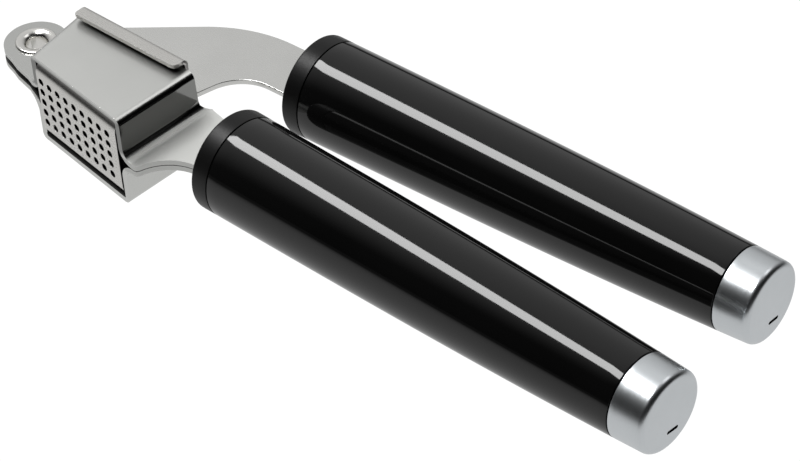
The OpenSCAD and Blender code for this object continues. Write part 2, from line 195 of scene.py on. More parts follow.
# %% Lamps and surroundings
def area_lamp(name, place, length, width, power, turn):
    """A rectangular softbox that faces straight down. turn is its direction in plan."""
    data = bpy.data.lights.new(name, "AREA")
    data.shape = "RECTANGLE"
    data.size, data.size_y = length, width
    data.energy = power
    lamp = bpy.data.objects.new(name, data)
    bpy.context.scene.collection.objects.link(lamp)
    lamp.matrix_world = Matrix.Translation(place) @ Matrix.Rotation(math.radians(turn), 4, "Z")
    return lamp


area_lamp("strip_softbox", (-0.170, -0.107, 0.600), length=0.60, width=0.168, power=4.0, turn=-33)
area_lamp("edge_softbox", (0.21, 0.42, 0.66), length=0.42, width=0.30, power=0.45, turn=0)

# %% Room
LIGHT_SIDE = (-0.62, 0.45, 0.64)
ROOM_BRIGHT = 0.62


def studio_world():
    """A dim room that is lighter behind the press and darker in front of it."""
    world = bpy.data.worlds.new("studio")
    world.use_nodes = True
    tree = world.node_tree
    way = add_node(tree, "ShaderNodeTexCoord").outputs["Generated"]
    toward = add_node(tree, "ShaderNodeVectorMath", {0: way}, operation="DOT_PRODUCT")
    toward.inputs[1].default_value = Vector(LIGHT_SIDE).normalized()
    level = add_node(tree, "ShaderNodeMapRange", {"Value": toward.outputs["Value"]},
                     interpolation_type="SMOOTHSTEP", From_Min=0.25, From_Max=1.0,
                     To_Min=0.0, To_Max=ROOM_BRIGHT)
    tree.links.new(level.outputs["Result"], tree.nodes["Background"].inputs["Strength"])
    tree.nodes["Background"].inputs["Color"].default_value = (1, 1, 1, 1)
    bpy.context.scene.world = world


studio_world()
bpy.context.scene.view_settings.view_transform = "Standard"

# %% [markdown]
# ## Steel
# Stainless sheet is polished but not a mirror: fine grain runs along the sheet, and the
# roughness changes a little from place to place. One function makes each steel finish, and
# takes the direction of its grain and how polished it is. Where the press tool drew the frame
# shells into walls, it left them smoother than the flats. Height alone tells walls from flats
# here, so a ramp over the height sets that polish. The upper shell's walls also get painted
# shade: their colour is darker than the lower shell's, standing in for the dark reflections
# they show on the real press. One roughness all over would look like grey plastic. So noise
# stretched along the sheet drives the roughness and a very shallow bump.

# %% Polish and painted shade by height
WALL_ROUGH, FOOT_ROUGH = 0.18, 0.5
# Share of the colour kept on the upper shell's walls: painted shade.
WALL_PAINTED_SHADE = 0.4


def polish_and_painted_shade_by_height(tree, place, rough, tone, drawn):
    """Scales roughness by distance from the middle plane, and above that plane paints shade into
    the tone.
    """
    height = add_node(tree, "ShaderNodeSeparateXYZ", {"Vector": place}).outputs["Z"]
    away = add_node(tree, "ShaderNodeMath", {0: height}, operation="ABSOLUTE")
    share = add_node(tree, "ShaderNodeMapRange", {"Value": away.outputs["Value"]},
                     From_Max=drawn[-1][0])
    ramp = add_node(tree, "ShaderNodeValToRGB", {"Fac": share.outputs["Result"]})
    stops = ramp.color_ramp.elements
    while len(stops) < len(drawn):
        stops.new(0.5)
    for stop, (start, scale) in zip(stops, drawn):
        stop.position = start / drawn[-1][0]
        stop.color = (scale, scale, scale, 1)
    scaled = add_node(tree, "ShaderNodeMath", {0: rough, 1: ramp.outputs["Color"]},
                      operation="MULTIPLY")
    # Painted shade: the ramp also darkens the colour of the upper shell's walls, while the lower
    # shell keeps its full colour.
    shade = add_node(tree, "ShaderNodeMapRange", {"Value": ramp.outputs["Color"]},
                     From_Min=WALL_ROUGH, From_Max=FOOT_ROUGH, To_Min=WALL_PAINTED_SHADE, To_Max=1.0)
    below = add_node(tree, "ShaderNodeMath", {0: height}, operation="LESS_THAN")
    below.inputs[1].default_value = 0
    kept = add_node(tree, "ShaderNodeMath", {
        0: shade.outputs["Result"], 1: below.outputs["Value"]}, operation="MAXIMUM")
    darker = add_node(tree, "ShaderNodeVectorMath", {0: tone, "Scale": kept.outputs["Value"]},
                      operation="SCALE")
    return scaled.outputs["Value"], darker.outputs["Vector"]


# %% Steel finishes
def steel(name, colour, rough, grain, grain_depth, spread=0.06, drawn=()):
    """Metal with fine grain. grain holds the pattern's scale along X, Y and Z, per metre.

    drawn lists heights from the middle plane, in metres, and the share of rough kept there.
    On the upper shell that share also sets the painted shade of the colour.
    """
    material, tree, output = new_material(name)
    place = add_node(tree, "ShaderNodeTexCoord").outputs["Object"]
    lie = add_node(tree, "ShaderNodeMapping", {"Vector": place})
    lie.inputs["Scale"].default_value = grain
    lines = add_node(tree, "ShaderNodeTexNoise", {"Vector": lie.outputs["Vector"]},
                     Scale=1.0, Detail=3.0, Roughness=0.6)
    cloud = add_node(tree, "ShaderNodeTexNoise", {"Vector": place}, Scale=70.0, Detail=3.0)
    tone = add_node(tree, "ShaderNodeValToRGB", {"Fac": cloud.outputs["Fac"]})
    tone.color_ramp.elements[0].color = (*[c * 0.94 for c in colour], 1)
    tone.color_ramp.elements[1].color = (*[min(1, c * 1.05) for c in colour], 1)
    dull = add_node(tree, "ShaderNodeMapRange", {"Value": lines.outputs["Fac"]},
                    From_Min=0.3, From_Max=0.7,
                    To_Min=rough - spread / 2, To_Max=rough + spread / 2)
    roughness, shade = dull.outputs["Result"], tone.outputs["Color"]
    if drawn:
        roughness, shade = polish_and_painted_shade_by_height(tree, place, roughness, shade, drawn)
    bump = add_node(tree, "ShaderNodeBump", {"Height": lines.outputs["Fac"]},
                    Strength=0.5, Distance=grain_depth)
    shader = add_node(tree, "ShaderNodeBsdfPrincipled", {
        "Base Color": shade, "Roughness": roughness,
        "Normal": bump.outputs["Normal"]}, Metallic=1.0)
    tree.links.new(shader.outputs["BSDF"], output.inputs["Surface"])
    return material


DRAWN_WALL = [(0.0, 1.0), (0.0018, 1.0), (0.0022, FOOT_ROUGH), (0.0034, WALL_ROUGH),
              (0.0116, WALL_ROUGH), (0.0130, 0.6)]
frame_steel = steel("frame_steel", (0.655, 0.66, 0.64), rough=0.55, grain=(600, 9000, 9000),
                    grain_depth=0.00000015, drawn=DRAWN_WALL)
basket_steel = steel("basket_steel", (0.68, 0.67, 0.645), rough=0.28, grain=(700, 9000, 9000),
                     grain_depth=0.0000003)
arm_steel = steel("arm_steel", (0.74, 0.74, 0.72), rough=0.26, grain=(600, 9000, 9000),
                  grain_depth=0.0000003)
rivet_steel = steel("rivet_steel", (0.80, 0.79, 0.76), rough=0.22, grain=(2500, 2500, 2500),
                    grain_depth=0.0000001)
cap_metal = steel("cap_metal", (0.67, 0.70, 0.72), rough=0.31, grain=(12000, 400, 400),
                  grain_depth=0.0000001)
# Near-black steel: painted shade on the shells' inner skins, the rims' undersides, the cap slits
# and the plunger plate.
painted_shade_steel = steel("painted_shade_steel", (0.07, 0.07, 0.068), rough=0.5, grain=(900, 4000, 4000),
                     grain_depth=0.0000006)
print("steel finishes:", [m.name for m in bpy.data.materials])

# %% [markdown]
# ## Black plastics
# The grips are injection moulded and polished, so they show a sharp stripe of the softbox.
# A very slow, shallow waviness keeps that stripe from being ruler straight. The collars are
# the same plastic straight from an etched mould: matt, with a fine even texture. The cores
# inside the handles are a coarser, dark grey moulding.

# %% Black plastics
def black_plastic(name, rough, wave, wave_depth, grit, grit_depth, tone=0.004, shine=0.46):
    """Moulded black plastic with a slow wave and a fine texture in its surface."""
    material, tree, output = new_material(name)
    place = add_node(tree, "ShaderNodeTexCoord").outputs["Object"]
    slow = add_node(tree, "ShaderNodeTexNoise", {"Vector": place}, Scale=wave, Detail=1.0)
    fine = add_node(tree, "ShaderNodeTexNoise", {"Vector": place}, Scale=grit, Detail=2.0)
    first = add_node(tree, "ShaderNodeBump", {"Height": slow.outputs["Fac"]},
                     Strength=0.4, Distance=wave_depth)
    second = add_node(tree, "ShaderNodeBump", {
        "Height": fine.outputs["Fac"], "Normal": first.outputs["Normal"]},
        Strength=0.4, Distance=grit_depth)
    colour = add_node(tree, "ShaderNodeValToRGB", {"Fac": slow.outputs["Fac"]})
    colour.color_ramp.elements[0].color = (tone * 0.8, tone * 0.8, tone * 0.8, 1)
    colour.color_ramp.elements[1].color = (tone * 1.3, tone * 1.3, tone * 1.3, 1)
    dull = add_node(tree, "ShaderNodeMapRange", {"Value": fine.outputs["Fac"]},
                    To_Min=rough * 0.8, To_Max=rough * 1.2)
    shader = add_node(tree, "ShaderNodeBsdfPrincipled", {
        "Base Color": colour.outputs["Color"], "Roughness": dull.outputs["Result"],
        "Normal": second.outputs["Normal"]}, Specular_IOR_Level=shine)
    tree.links.new(shader.outputs["BSDF"], output.inputs["Surface"])
    return material


grip_gloss = black_plastic("grip_gloss", rough=0.06, wave=45.0, wave_depth=0.00004,
                           grit=900.0, grit_depth=0.0000015)
collar_matt = black_plastic("collar_matt", rough=0.36, wave=60.0, wave_depth=0.00002,
                            grit=2600.0, grit_depth=0.000006, tone=0.005, shine=0.24)
core_plastic = black_plastic("core_plastic", rough=0.55, wave=60.0, wave_depth=0.00002,
                             grit=1500.0, grit_depth=0.00001, tone=0.05)
print("plastics made")

# %% [markdown]
# ## From bmesh to piece
# Every piece ends the same way: scaled to metres, made smooth, given its modifiers and its
# material, and told which body it rides on and which CAD node it stands for. Thickness and
# rounded edges come from modifiers, so each shape stays one simple skin until the end.

# %% Finishing a piece
def piece(bm, node, material, body, wall=0.0, edge=0.0, inner=None, inside=0):
    """Turns a bmesh in millimetres into a piece that stands for a CAD node.

    inner is a second finish, for faces of material index 1. inside says how the inner skin of
    a sheet differs: 1 gives all of it the second finish, and -1 gives all of it the first.
    """
    bmesh.ops.scale(bm, vec=(MM, MM, MM), verts=bm.verts)
    for face in bm.faces:
        face.smooth = True
    mesh = bpy.data.meshes.new(node + "_skin")
    bm.to_mesh(mesh)
    bm.free()
    obj = bpy.data.objects.new(mesh.name, mesh)
    bpy.context.scene.collection.objects.link(obj)
    mesh.materials.append(material)
    if inner:
        mesh.materials.append(inner)
    if wall:
        sheet = obj.modifiers.new("sheet", "SOLIDIFY")
        sheet.thickness, sheet.offset, sheet.use_even_offset = wall * MM, -1, True
        sheet.material_offset, sheet.material_offset_rim = inside, min(inside, 0)
    if edge:
        rounding = obj.modifiers.new("rounded_edge", "BEVEL")
        rounding.width, rounding.segments = edge * MM, 2
        rounding.limit_method, rounding.angle_limit = "ANGLE", math.radians(40)
    shading = obj.modifiers.new("flat_faces_stay_flat", "WEIGHTED_NORMAL")
    shading.keep_sharp = True
    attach(obj, body)
    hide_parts(node)
    print(obj.name, len(mesh.polygons), "faces")
    return obj


# %% [markdown]
# ## Sheet metal: cut a blank, then fold it
# The real shells are cut out flat and then pressed. A box with bevels would look similar, but
# its bends would not keep the even thickness of folded sheet. So the mesh is made in the same
# two steps. `blank` fills a flat outline around its holes, and `fold` bends everything beyond
# a line by a quarter turn, after cutting the sheet into narrow strips where it will curve.
# Folds are made from the outside in, so each one carries what has been folded before it.

# %% Outline helpers
QUARTER = math.pi / 2


def arc(centre, radius, start, end, steps):
    """Points of an arc, with its angles in degrees."""
    turns = [math.radians(start + (end - start) * i / steps) for i in range(steps + 1)]
    return [(centre[0] + radius * math.cos(t), centre[1] + radius * math.sin(t)) for t in turns]


def circle(centre, radius, steps=48):
    """Points of a whole circle."""
    return arc(centre, radius, 0, 360, steps)[:-1]


def between(start, end, steps):
    """Points on a straight line, both ends included."""
    return [tuple(Vector(start).lerp(Vector(end), i / steps)) for i in range(steps + 1)]


def direction(degrees):
    """Unit vector in plan at that angle."""
    return Vector((math.cos(math.radians(degrees)), math.sin(math.radians(degrees))))


# %% Blank and fold
def blank(outline, holes=()):
    """A flat sheet at height zero, facing up, with that outline and those holes."""
    bm = bmesh.new()
    for loop in (outline, *holes):
        corners = [bm.verts.new((x, y, 0)) for x, y in loop]
        for a, b in zip(corners, corners[1:] + corners[:1]):
            bm.edges.new((a, b))
    bmesh.ops.triangle_fill(bm, use_beauty=True, use_dissolve=False, edges=bm.edges[:])
    for face in bm.faces:
        if face.normal.z < 0:
            face.normal_flip()
    return bm


def cut_line(bm, place, across):
    """Cuts the sheet along a line through place, square to across."""
    everything = bm.verts[:] + bm.edges[:] + bm.faces[:]
    bmesh.ops.bisect_plane(bm, geom=everything, dist=0.0001, plane_co=place, plane_no=across)


def fold(bm, place, outward, radius, up, steps=10):
    """Bends what lies beyond a line by a quarter turn. radius is that of the modelled skin."""
    start = Vector((*place, 0))
    out = Vector((*outward, 0)).normalized()
    for i in range(steps + 1):
        cut_line(bm, start + out * (radius * QUARTER * i / steps), out)
    sign = 1 if up else -1
    for vert in bm.verts:
        beyond = (vert.co - start).dot(out)
        if beyond <= 0:
            continue
        turn = min(beyond / radius, QUARTER)
        straight = beyond - turn * radius
        reach = radius - sign * vert.co.z
        vert.co += out * (reach * math.sin(turn) + straight * math.cos(turn) - beyond)
        vert.co.z = sign * (radius - reach * math.cos(turn) + straight * math.sin(turn))


def tidy_flats(bm):
    """Joins the triangles of each flat area into large faces."""
    bmesh.ops.remove_doubles(bm, verts=bm.verts, dist=0.0005)
    bmesh.ops.dissolve_limit(bm, angle_limit=math.radians(0.5), use_dissolve_boundaries=False,
                             verts=bm.verts, edges=bm.edges)


# %% [markdown]
# ## Sizes of the head
# These follow the CAD source. The head is a shallow box between two cheeks. The near edge
# slopes a little and the two walls lean, so the box is slightly wider at its open side. Each
# shell's skin is a tenth of a millimetre thinner than its sheet on the inside, which leaves a
# fine parting line where the two shells meet.

# %% Sizes of the head
SHEET = 1.5
PARTING = 0.1
SHEET_EDGE = 0.22
HEAD_HALF = shell_high.z
NEAR_LEFT = Vector((13.5, -12.4))
NEAR_SLOPE = -6.9
HEAD_LEN = 35.8
INNER_LEAN = 8.7
OUTER_LEAN = 2.0
OPEN_Y = 6.4
OPEN_SLOPE = 1.2
CHEEK_BEND = 2.0
FOOT_BEND = 3.0
EAR_RADIUS = 8.1
EAR_TOP = 2.37
NEAR_RIGHT = NEAR_LEFT + HEAD_LEN * direction(NEAR_SLOPE)
OPEN_LEFT_X = NEAR_LEFT.x - (OPEN_Y - NEAR_LEFT.y) * math.tan(math.radians(INNER_LEAN))
OPEN_LEFT = Vector((OPEN_LEFT_X, OPEN_Y))
OPEN_RIGHT_X = NEAR_RIGHT.x + (OPEN_Y - NEAR_RIGHT.y) * math.tan(math.radians(OUTER_LEAN))
OPEN_RISE = (OPEN_RIGHT_X - OPEN_LEFT.x) * math.tan(math.radians(OPEN_SLOPE))
OPEN_RIGHT = Vector((OPEN_RIGHT_X, OPEN_Y + OPEN_RISE))
cheek = (NEAR_LEFT, NEAR_RIGHT, OPEN_RIGHT, OPEN_LEFT)
print("cheek:", [tuple(round(c, 2) for c in corner) for corner in cheek])

# %% [markdown]
# ## A joggled wall
# Each shell steps from its cheek down to its ear on one side and to its arm on the other.
# That step is two folds with a straight wall between them. `Joggle` knows one such step: it
# can lay a point of the plan out flat, and it can make the two folds.

# %% Joggle
class Joggle:
    """The step from the cheek down to an ear or an arm."""

    def __init__(self, corner, outward, drop):
        self.corner, self.outward = corner, outward
        self.top = CHEEK_BEND * QUARTER
        self.bottom = self.top + drop - CHEEK_BEND - FOOT_BEND
        self.end = self.bottom + FOOT_BEND * QUARTER

    def flat(self, point, at_foot=True):
        """Where a point of the plan lies on the flat blank."""
        away = (Vector(point) - self.corner).dot(self.outward)
        if away < -CHEEK_BEND:
            return tuple(point)
        if away < -0.0001 or (abs(away) < 0.0001 and not at_foot):
            along = CHEEK_BEND * math.asin(min(1, (away + CHEEK_BEND) / CHEEK_BEND))
        elif away < FOOT_BEND:
            along = self.bottom + FOOT_BEND * math.acos(max(0, 1 - away / FOOT_BEND))
        else:
            along = self.end + away - FOOT_BEND
        return tuple(Vector(point) + self.outward * (along - CHEEK_BEND - away))

    def bend(self, bm):
        """The foot first, then the cheek's edge."""
        foot = self.corner + self.outward * (self.bottom - CHEEK_BEND)
        fold(bm, foot, self.outward, FOOT_BEND, up=True)
        fold(bm, self.corner - self.outward * CHEEK_BEND, self.outward, CHEEK_BEND, up=False)


ear_step = Joggle(NEAR_LEFT, -direction(INNER_LEAN), HEAD_HALF - EAR_TOP)
arm_step = Joggle(NEAR_RIGHT, direction(-OUTER_LEAN), HEAD_HALF - SHEET)
growth = [round(step.end - CHEEK_BEND - FOOT_BEND, 2) for step in (ear_step, arm_step)]
print("blank grows by", growth, "mm")

# %% [markdown]
# ## Frame shells
# The outline runs along the near edge, out to the arm and its tang, back along the open
# edge and around the ear. The second shell is the first one mirrored, turned right side out
# again by reversing its faces.

# %% Outline of a frame shell
HANDLE_X = box_mm("frame_collar")[0].x
HANDLE_Y = (box_mm("frame_collar")[0].y + box_mm("frame_collar")[1].y) / 2
ARM_HALF = 7.9
TANG_HALF = 5.8
TANG_LEN = 55
FLARE_RADIUS = 12
FLARE_X = HANDLE_X - 2
FLARE_TIP = Vector((FLARE_X - FLARE_RADIUS, NEAR_RIGHT.y))
EAR_NEAR_SIDE = [(0.7, -8.55), (3, -9.35), (5.8, -9.9), (8.5, -10.4)]
BEND_CLEAR = 2.1
RIVET_RADIUS = 4
TANG_PINS = (18, 42)
TANG_PIN_RADIUS = 1.5


def shell_outline():
    """Outline of the flat blank, anticlockwise from the near edge."""
    near_arm = HANDLE_Y - ARM_HALF
    far_arm = HANDLE_Y + ARM_HALF
    flare = arc((FLARE_X, near_arm - FLARE_RADIUS), FLARE_RADIUS, 163.5, 90, 14)
    tip = FLARE_TIP + Vector((-0.6, -0.3))
    arm_side = [
        *between(NEAR_RIGHT, tip, 6), (FLARE_TIP.x + 0.1, FLARE_TIP.y - 0.1), *flare,
        (HANDLE_X + 1, near_arm), (HANDLE_X + 1, HANDLE_Y - TANG_HALF),
        (HANDLE_X + TANG_LEN, HANDLE_Y - TANG_HALF), (HANDLE_X + TANG_LEN, HANDLE_Y + TANG_HALF),
        (HANDLE_X + 1, HANDLE_Y + TANG_HALF), (HANDLE_X + 1, far_arm), (HANDLE_X - 8, far_arm),
        *between((OPEN_RIGHT.x + 2.4, far_arm + 1.3), OPEN_RIGHT, 6),
    ]
    ear_side = [
        *between(OPEN_LEFT, (0.5, EAR_RADIUS), 10), *arc((0, 0), EAR_RADIUS, 92, 259.5, 36),
        *EAR_NEAR_SIDE, *between((9.6, -10.84), NEAR_LEFT, 8),
    ]
    return [
        ear_step.flat(NEAR_LEFT, at_foot=False), *near_edge_points(),
        arm_step.flat(NEAR_RIGHT, at_foot=False), *[arm_step.flat(p) for p in arm_side],
        arm_step.flat(OPEN_RIGHT, at_foot=False), *open_edge_points(),
        ear_step.flat(OPEN_LEFT, at_foot=False), *[ear_step.flat(p) for p in ear_side],
    ]


def near_edge_points():
    """The near edge between the two bends."""
    along = direction(NEAR_SLOPE)
    return [tuple(NEAR_LEFT + along * BEND_CLEAR), tuple(NEAR_RIGHT - along * BEND_CLEAR)]


def open_edge_points():
    """The open edge between the two bends."""
    along = direction(OPEN_SLOPE)
    return [tuple(OPEN_RIGHT - along * BEND_CLEAR), tuple(OPEN_LEFT + along * BEND_CLEAR)]


# %% Frame shells
def frame_shell(node, lower):
    """One folded shell, for the upper or the lower half of the frame."""
    ear_hole = [ear_step.flat(p) for p in circle((0, 0), RIVET_RADIUS)]
    pin_holes = [[arm_step.flat(p) for p in circle((HANDLE_X + x, HANDLE_Y), TANG_PIN_RADIUS, 24)]
                 for x in TANG_PINS]
    bm = blank(shell_outline(), [ear_hole, *pin_holes])
    ear_step.bend(bm)
    arm_step.bend(bm)
    tidy_flats(bm)
    bmesh.ops.translate(bm, vec=(0, 0, HEAD_HALF), verts=bm.verts)
    if lower:
        bmesh.ops.scale(bm, vec=(1, 1, -1), verts=bm.verts)
        bmesh.ops.reverse_faces(bm, faces=bm.faces)
    # The inner skin of each shell takes the near-black steel: painted shade inside the head.
    return piece(bm, node, frame_steel, "frame", wall=SHEET - PARTING,
                 edge=SHEET_EDGE, inner=painted_shade_steel, inside=1)


frame_shell("upper_frame_shell", lower=False)
frame_shell("lower_frame_shell", lower=True)

# %% [markdown]
# ## Strainer basket
# The basket is one perforated blank. Its sides fold up inside the cheeks, then turn out
# and down over the cheeks' open edges as two hooked rims. It is folded in a frame of its
# own, with X along the near edge, and turned into place at the end. Its 45 holes are in the
# blank from the start, because holes cut into a finished mesh leave ragged faces.

# %% Sizes of the basket
BASKET_SHEET = 1.0
BASKET_GAP = 0.3
BASKET_HALF = HEAD_HALF - SHEET - BASKET_GAP
BASKET_BEND = 3.0
PLATE_PROUD = 0.3
HOLES_ALONG, HOLES_ACROSS = 9, 5
PITCH_ALONG, PITCH_ACROSS = 3.35, 3.12
HOLE_RADIUS = 1.0
BASKET_START = SHEET + BASKET_GAP
BASKET_END = HEAD_LEN - SHEET - BASKET_GAP
FIRST_HOLE = BASKET_START + 1.75
RIM_WIDTH = 4.4
RIM_BEND = 0.8
RIM_WEB = box_mm("strainer_basket")[1].z - BASKET_SHEET - BASKET_HALF - 2 * RIM_BEND
RIM_START, RIM_END = 1.9, 3.0
RIM_STAND = 0.2
FLAT_SIDE = BASKET_HALF - BASKET_BEND
print("rim web:", round(RIM_WEB, 2), "mm")


def beside_near_edge(point):
    """A point of the plan in the basket's own frame."""
    offset = Vector(point) - NEAR_LEFT
    along = direction(NEAR_SLOPE)
    return Vector((offset.dot(along), offset.dot(Vector((-along.y, along.x)))))


# %% Rim on the flat blank
def rim_on_blank():
    """The rim's two directions, the start of its first fold, its length and unrolled width."""
    grow = BASKET_BEND * QUARTER - BASKET_BEND + FLAT_SIDE + PLATE_PROUD
    lean = OPEN_SLOPE - NEAR_SLOPE
    along, up = direction(lean), direction(lean + 90)
    corner = beside_near_edge(OPEN_LEFT) + Vector((0, grow))
    fold_at = corner + up * (RIM_STAND - RIM_BEND)
    rim_len = OPEN_RIGHT.x - OPEN_LEFT.x - RIM_END
    lip = 2 * RIM_BEND * QUARTER + RIM_WEB + RIM_WIDTH - BASKET_SHEET - RIM_BEND
    return along, up, fold_at, rim_len, lip


# %% Strainer basket
def strainer_basket():
    """The perforated plate, its two sides and their hooked rims."""
    along, up, fold_at, rim_len, lip = rim_on_blank()
    left_top = fold_at + along * 2.45
    right_top = fold_at + along * (rim_len + 1.2)
    rim_left, rim_right = fold_at + along * RIM_START, fold_at + along * rim_len
    half = [
        Vector((BASKET_END, FLAT_SIDE + 3)), right_top,
        rim_right, rim_right + up * (lip - 1.5), rim_right + up * (lip - 0.45) - along * 0.45,
        rim_right + up * lip - along * 1.5, rim_left + up * lip + along * 0.75,
        rim_left + up * (lip - 0.22) + along * 0.22, rim_left + up * (lip - 0.75),
        rim_left, left_top, Vector((BASKET_START, FLAT_SIDE + 2.9)),
    ]
    other = [Vector((p.x, -p.y)) for p in reversed(half)]
    outline = [tuple(p) for p in half + other]
    middle_row = (HOLES_ACROSS - 1) / 2
    centres = [(FIRST_HOLE + i * PITCH_ALONG, (j - middle_row) * PITCH_ACROSS)
               for i in range(HOLES_ALONG) for j in range(HOLES_ACROSS)]
    holes = [circle(centre, HOLE_RADIUS, 20) for centre in centres]
    bm = blank(outline, holes)
    for side in (1, -1):
        flip = Vector((1, side))
        out = up * flip
        web = fold_at + up * (RIM_BEND * QUARTER + RIM_WEB)
        fold(bm, web * flip, out, RIM_BEND, up=True, steps=6)
        fold(bm, fold_at * flip, out, RIM_BEND, up=True, steps=6)
        fold(bm, (0, side * FLAT_SIDE), (0, side), BASKET_BEND, up=False)
    tidy_flats(bm)
    return bm


def into_place(bm):
    """From the basket's own frame, facing up, to its place with the plate facing forwards."""
    along = direction(NEAR_SLOPE)
    across = Vector((-along.y, along.x))
    place = NEAR_LEFT - across * PLATE_PROUD
    turn = Matrix(((along.x, 0, -across.x, place.x), (along.y, 0, -across.y, place.y),
                   (0, 1, 0, 0), (0, 0, 0, 1)))
    bmesh.ops.transform(bm, matrix=turn, verts=bm.verts)
    return bm


# %% [markdown]
# ## Inside the basket
# A low wall closes the basket at the hinge side and a full one at the handle side. Both are
# flat sheets that join the basket before it gets its thickness. The undersides of the rims,
# which are also rougher, and the walls of the punched holes are painted near-black as painted
# shade. The undersides take a second material. The hole walls only appear when the sheet is
# thickened, so the basket's own material paints shade on all of the plate behind its front.

# %% End walls
def end_wall(bm, place, lean, depth):
    """Adds a flat wall that stands inside the basket, square to its plate but for its lean."""
    inner = BASKET_HALF - BASKET_SHEET
    corner = BASKET_BEND - BASKET_SHEET
    near = BASKET_SHEET - PLATE_PROUD - 0.05
    foot = [*arc((near + corner, -inner + corner), corner, 270, 180, 6),
            *arc((near + corner, inner - corner), corner, 180, 90, 6)]
    wall = blank([*foot, (depth, inner), (depth, -inner)])
    along = direction(NEAR_SLOPE + lean)
    start = NEAR_LEFT + direction(NEAR_SLOPE) * place
    turn = Matrix(((-along.y, 0, along.x, start.x), (along.x, 0, along.y, start.y),
                   (0, 1, 0, 0), (0, 0, 0, 1)))
    bmesh.ops.transform(wall, matrix=turn, verts=wall.verts)
    mesh = bpy.data.meshes.new("end_wall")
    wall.to_mesh(mesh)
    wall.free()
    bm.from_mesh(mesh)
    bpy.data.meshes.remove(mesh)


# %% Painted shade in the basket
HOLE_PAINTED_SHADE = (0.03, 0.03, 0.03, 1)
HOLE_MIDDLE, HOLE_REACH = 0.25, 0.46


def paint_shade_under_rims(bm):
    """The undersides of the rims take the second, near-black finish: painted shade under the
    rims.
    """
    bm.normal_update()
    for face in bm.faces:
        height = face.calc_center_median().z
        if abs(height) > HEAD_HALF and face.normal.z * height < -0.5 * abs(height):
            face.material_index = 1


def paint_shade_in_holes(material):
    """Painted shade: darkens the plate from just behind its front, which one sees only through
    the holes.
    """
    tree = material.node_tree
    shader = next(n for n in tree.nodes if n.type == "BSDF_PRINCIPLED")
    tone = shader.inputs["Base Color"].links[0].from_socket
    place = add_node(tree, "ShaderNodeTexCoord").outputs["Object"]
    lie = add_node(tree, "ShaderNodeMapping", {"Vector": place}, vector_type="TEXTURE")
    lie.inputs["Location"].default_value = (*(NEAR_LEFT * MM), 0)
    lie.inputs["Rotation"].default_value = (0, 0, math.radians(NEAR_SLOPE))
    axes = add_node(tree, "ShaderNodeSeparateXYZ", {"Vector": lie.outputs["Vector"]})
    depth = add_node(tree, "ShaderNodeMath", {0: axes.outputs["Y"]}, operation="COMPARE")
    depth.inputs[1].default_value = HOLE_MIDDLE * MM
    depth.inputs[2].default_value = HOLE_REACH * MM
    height = add_node(tree, "ShaderNodeMath", {0: axes.outputs["Z"]}, operation="ABSOLUTE")
    flat = add_node(tree, "ShaderNodeMath", {0: height.outputs["Value"]}, operation="LESS_THAN")
    flat.inputs[1].default_value = FLAT_SIDE * MM
    inside = add_node(tree, "ShaderNodeMath", {
        0: depth.outputs["Value"], 1: flat.outputs["Value"]}, operation="MULTIPLY")
    # Painted shade: the plate behind its front, seen through the holes, is mixed to near-black.
    mixed = add_node(tree, "ShaderNodeMix", {0: inside.outputs["Value"], 6: tone},
                     data_type="RGBA")
    mixed.inputs[7].default_value = HOLE_PAINTED_SHADE
    tree.links.new(mixed.outputs[2], shader.inputs["Base Color"])


# %% Basket piece
LOW_WALL, FULL_WALL = 3.0, 19.0
BASKET_EDGE = 0.12
paint_shade_in_holes(basket_steel)
basket = into_place(strainer_basket())
paint_shade_under_rims(basket)
end_wall(basket, BASKET_START + BASKET_SHEET, 0, LOW_WALL)
end_wall(basket, BASKET_END, -OUTER_LEAN - NEAR_SLOPE, FULL_WALL)
piece(basket, "strainer_basket", basket_steel, "frame", wall=BASKET_SHEET,
      edge=BASKET_EDGE, inner=painted_shade_steel, inside=-1)

# %% [markdown]
# ## Press arm
# The arm is a flat plate: an eye for the hinge, a shoulder that bends up to the handle, a
# blade that carries the plunger, and a tang inside the handle. Its outline is the same few
# lines and arcs as in the CAD source. It has no folds, so one blank with a thickness is enough.

# %% Press arm
ARM_SHEET = 1.5
EYE_RADIUS = 7.4
ARM_PLACE = Vector((63.65, 33.6))
ARM_ANGLE = 3.2
SHOULDER_ANGLE, SHOULDER_RADIUS = 39.9, 38
BLADE_ANGLE, HOLLOW_RADIUS = 76, 11
BLADE_PLACE = Vector((44.6, 14.4))
PIN_PLACE = Vector((31.319, -2.728))
TIP_RADIUS = 3.0
PLUNGER_PIN = 1.5
RUNNING_FIT = 0.05


def on_arm(x, y):
    """A point beside the arm handle's axis, in plan."""
    return ARM_PLACE + direction(ARM_ANGLE) * x + direction(ARM_ANGLE + 90) * y


def crossing(p, a, q, b):
    """Where the line through p at angle a meets the line through q at angle b."""
    da, db = direction(a), direction(b)
    gap = q - p
    return p + da * ((gap.x * db.y - gap.y * db.x) / (da.x * db.y - da.y * db.x))


def rounded(corner, a, b, radius, steps):
    """The arc that rounds a corner between a line at angle a and one at angle b."""
    half = math.radians((b - a) / 2)
    side = 1 if half > 0 else -1
    centre = corner + direction((a + b) / 2 + 90) * side * radius / math.cos(half)
    return arc(centre, radius, a - 90 * side, b - 90 * side, steps)


